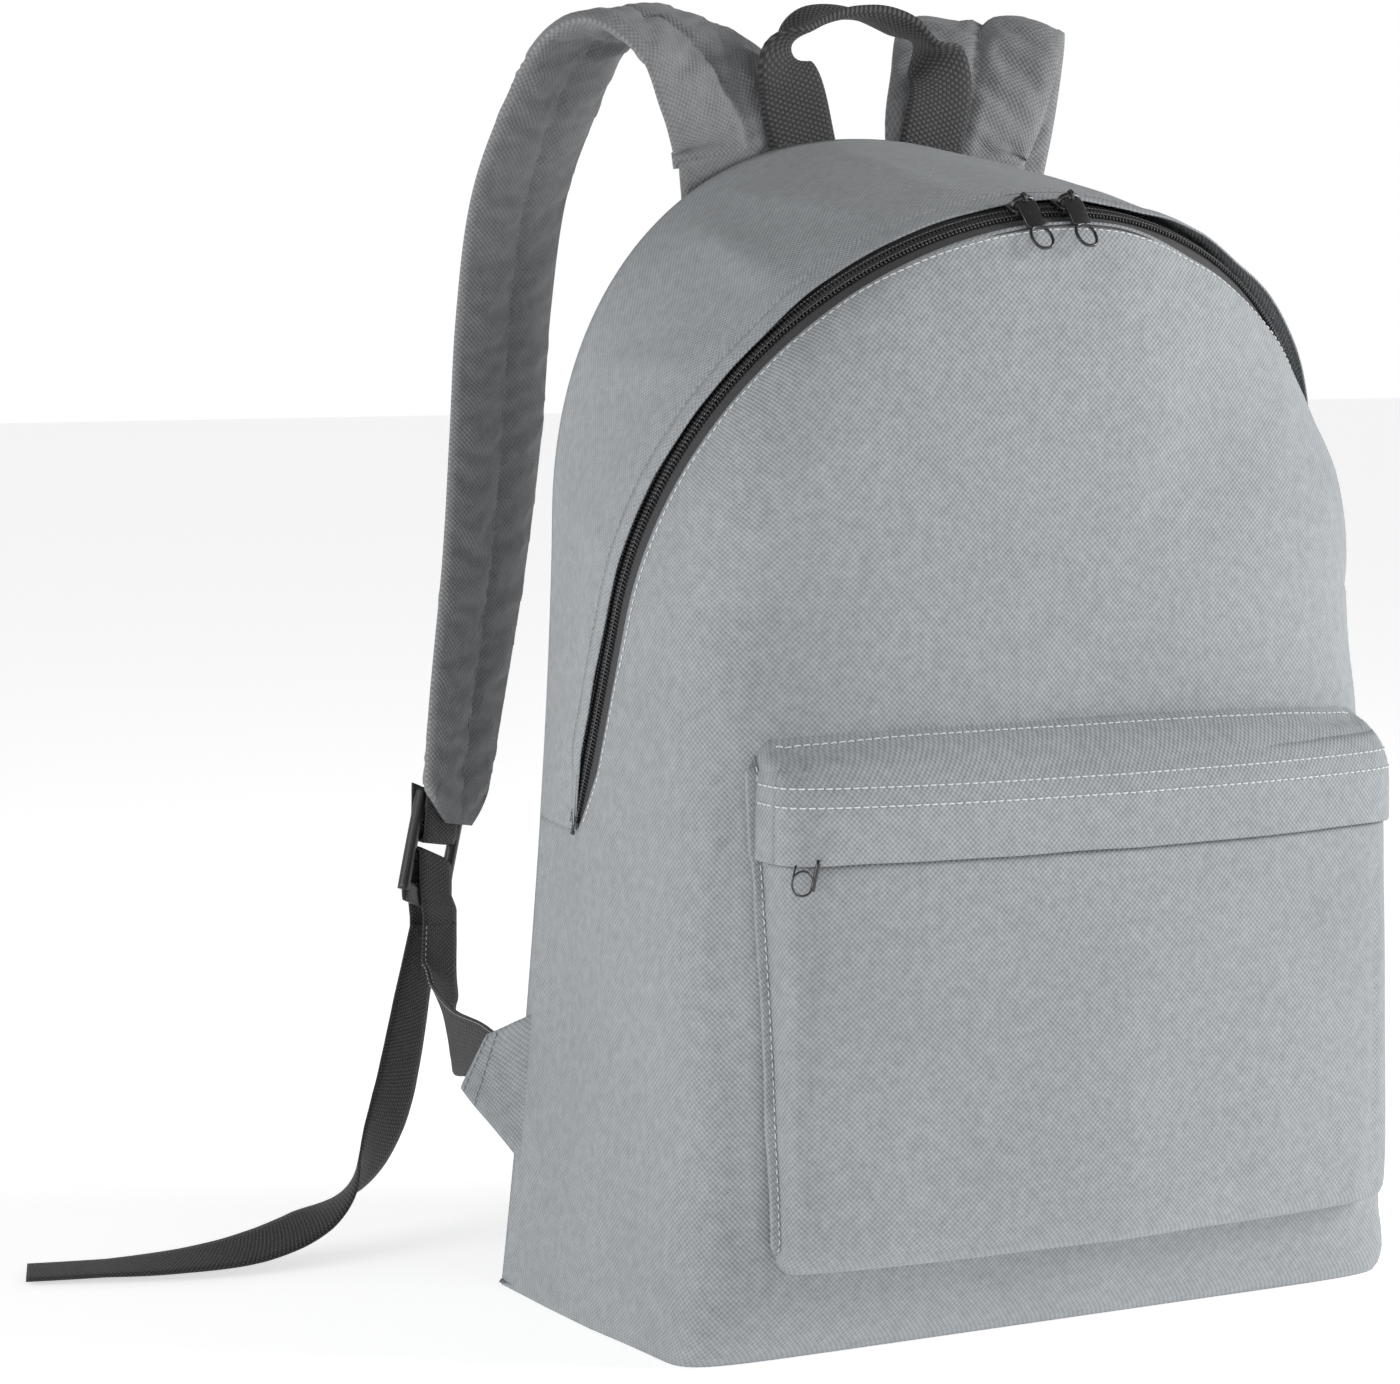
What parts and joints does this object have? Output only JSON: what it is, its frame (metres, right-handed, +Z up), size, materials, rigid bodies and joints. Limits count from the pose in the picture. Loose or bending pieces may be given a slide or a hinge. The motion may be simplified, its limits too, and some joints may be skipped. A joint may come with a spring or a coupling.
{
  "type": "daypack",
  "caption": "Soft arched daypack with a zipped main compartment, a zipped front pocket under a flap, padded shoulder straps with webbing adjusters and a webbing grab handle.",
  "frame": {"origin": "middle of the base's footprint, on the surface it stands on", "axes": "+Z up, +Y out of the back panel towards the wearer, -Y out of the front pocket, +X to the wearer's right"},
  "size_m": [0.487, 0.3568, 0.4907],
  "materials": {
    "shell_fabric": "matt twill weave",
    "lining_fabric": "matt plain weave",
    "foam": "matt closed cell",
    "webbing": "ribbed weave",
    "zip_tape": "matt knit",
    "zip_coil": "satin",
    "zip_metal": "gloss enamel",
    "buckle_plastic": "satin"
  },
  "bodies": {
    "pack_body": {"back_panel_fabric": "shell_fabric", "back_panel_foam": "foam", "back_panel_lining": "lining_fabric", "back_seam_binding": "lining_fabric", "base_panel": "shell_fabric", "front_panel_lower": "shell_fabric", "gusset_panel": "shell_fabric", "handle_anchors": "webbing", "main_zip_end_stops": "zip_metal", "main_zip_leg_coils": "zip_coil", "main_zip_leg_tapes": "zip_tape", "main_zip_rear_coil": "zip_coil", "main_zip_rear_tape": "zip_tape", "pocket_shell": "shell_fabric", "pocket_top_panel": "shell_fabric", "pocket_zip_coils": "zip_coil", "pocket_zip_stops": "zip_metal", "pocket_zip_tapes": "zip_tape", "strap_left_anchor": "shell_fabric", "strap_left_tab": "shell_fabric", "strap_left_tail_end": "webbing", "strap_right_anchor": "shell_fabric", "strap_right_tab": "shell_fabric", "strap_right_tail_end": "webbing"},
    "front_cover": {"front_cover_panel": "shell_fabric", "front_cover_hem": "shell_fabric", "main_zip_cover_tape": "zip_tape", "main_zip_cover_coil": "zip_coil"},
    "main_slider_left": {"main_slider_left": "zip_metal"},
    "main_slider_right": {"main_slider_right": "zip_metal"},
    "main_pull_left": {"main_pull_left": "zip_metal"},
    "main_pull_right": {"main_pull_right": "zip_metal"},
    "pocket_flap": {"pocket_flap": "shell_fabric", "pocket_flap_fold": "shell_fabric"},
    "pocket_slider": {"pocket_slider": "zip_metal"},
    "pocket_pull": {"pocket_pull": "zip_metal"},
    "grab_handle": {"grab_handle": "webbing"},
    "strap_left": {"strap_left_cover": "shell_fabric", "strap_left_foam": "foam", "strap_left_backing": "lining_fabric", "strap_left_buckle_loop": "webbing", "strap_left_adjuster_loop": "webbing", "strap_left_lower_webbing": "webbing", "strap_left_tail": "webbing"},
    "buckle_left": {"strap_left_buckle": "buckle_plastic"},
    "strap_right": {"strap_right_cover": "shell_fabric", "strap_right_foam": "foam", "strap_right_backing": "lining_fabric", "strap_right_buckle_loop": "webbing", "strap_right_adjuster_loop": "webbing", "strap_right_lower_webbing": "webbing", "strap_right_tail": "webbing"},
    "buckle_right": {"strap_right_buckle": "buckle_plastic"}
  },
  "joints": [
    {"name": "main_slider_left_travel", "type": "hinge", "parent": "pack_body", "child": "main_slider_left", "pos_m": [0, -0.0016, 0.2747], "axis": [0, -0.9164, -0.4003], "range_deg": [0, 78]},
    {"name": "main_slider_right_travel", "type": "hinge", "parent": "pack_body", "child": "main_slider_right", "pos_m": [0, -0.0016, 0.2747], "axis": [0, -0.9164, -0.4003], "range_deg": [-78, 0]},
    {"name": "cover_open", "type": "hinge", "parent": "pack_body", "child": "front_cover", "pos_m": [0, -0.0868, 0.246], "axis": [1, 0, 0], "range_deg": [0, 45], "deforming": ["front_cover_hem", "main_zip_cover_tape", "main_zip_cover_coil"]},
    {"name": "main_pull_left_swing", "type": "hinge", "parent": "main_slider_left", "child": "main_pull_left", "pos_m": [-0.00888, -0.06516, 0.42017], "axis": [-0.9984, 0.0223, -0.0512], "range_deg": [0, 180]},
    {"name": "main_pull_right_swing", "type": "hinge", "parent": "main_slider_right", "child": "main_pull_right", "pos_m": [0.00888, -0.06516, 0.42017], "axis": [-0.9984, -0.0223, 0.0512], "range_deg": [0, 180]},
    {"name": "pocket_slider_travel", "type": "hinge", "parent": "pack_body", "child": "pocket_slider", "pos_m": [0, 0.503, 0.1875], "axis": [0, 0, 1], "range_deg": [0, 21.6]},
    {"name": "pocket_pull_swing", "type": "hinge", "parent": "pocket_slider", "child": "pocket_pull", "pos_m": [-0.11703, -0.10473, 0.1875], "axis": [-0.982, 0.1891, 0], "range_deg": [0, 20]},
    {"name": "pocket_flap_lift", "type": "hinge", "parent": "pack_body", "child": "pocket_flap", "pos_m": [0, -0.1128, 0.207], "axis": [-1, 0, 0], "range_deg": [0, 60]},
    {"name": "handle_swing", "type": "hinge", "parent": "pack_body", "child": "grab_handle", "pos_m": [0, 0.0775, 0.4425], "axis": [1, 0, 0], "range_deg": [0, 85]},
    {"name": "strap_left_swing", "type": "hinge", "parent": "pack_body", "child": "strap_left", "pos_m": [-0.05, 0.084, 0.4425], "axis": [0.3031, -0.0158, 0.9528], "range_deg": [-5, 25], "deforming": ["strap_left_tail"]},
    {"name": "buckle_left_tilt", "type": "hinge", "parent": "strap_left", "child": "buckle_left", "pos_m": [-0.1305, 0.1875, 0.171], "axis": [0.8575, 0.5145, 0], "range_deg": [-5, 25], "deforming": ["strap_left_buckle_loop", "strap_left_adjuster_loop", "strap_left_lower_webbing", "strap_left_tail"]},
    {"name": "strap_right_swing", "type": "hinge", "parent": "pack_body", "child": "strap_right", "pos_m": [0.05, 0.084, 0.4425], "axis": [0.3031, 0.0158, -0.9528], "range_deg": [-5, 25], "deforming": ["strap_right_tail"]},
    {"name": "buckle_right_tilt", "type": "hinge", "parent": "strap_right", "child": "buckle_right", "pos_m": [0.1305, 0.1875, 0.171], "axis": [0.8575, -0.5145, 0], "range_deg": [-5, 25], "deforming": ["strap_right_buckle_loop", "strap_right_adjuster_loop", "strap_right_lower_webbing", "strap_right_tail"]}
  ],
  "couplings": [
    {"joint": "main_slider_right_travel", "follows": "main_slider_left_travel", "ratio": -1},
    {"joint": "cover_open", "follows": "main_slider_left_travel", "ratio": 0.57692}
  ]
}
